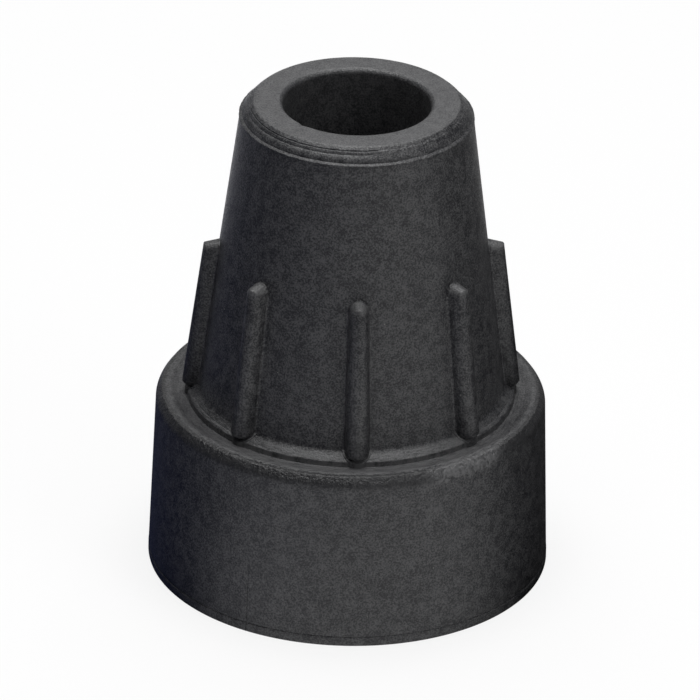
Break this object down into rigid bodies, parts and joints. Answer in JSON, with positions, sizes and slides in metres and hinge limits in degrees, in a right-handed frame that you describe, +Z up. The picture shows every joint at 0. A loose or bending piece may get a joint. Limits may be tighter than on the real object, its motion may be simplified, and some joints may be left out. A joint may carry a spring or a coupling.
{
  "type": "rubber cane tip",
  "caption": "Moulded rubber tip for a walking cane: a blind push-fit socket in a ribbed conical neck, on a wide round foot with ring grooves in its sole.",
  "frame": {"origin": "middle of the sole, in the plane that stands on the floor", "axes": "+Z up the socket's axis and out of its mouth, -Y through the middle of one rib, +X to the right when that rib faces the viewer"},
  "size_m": [0.05, 0.05, 0.0624],
  "materials": {
    "rubber": "moulded charcoal black rubber, satin matt, with a fine grain"
  },
  "bodies": {
    "root": {"cane_tip": "rubber"}
  },
  "joints": []
}
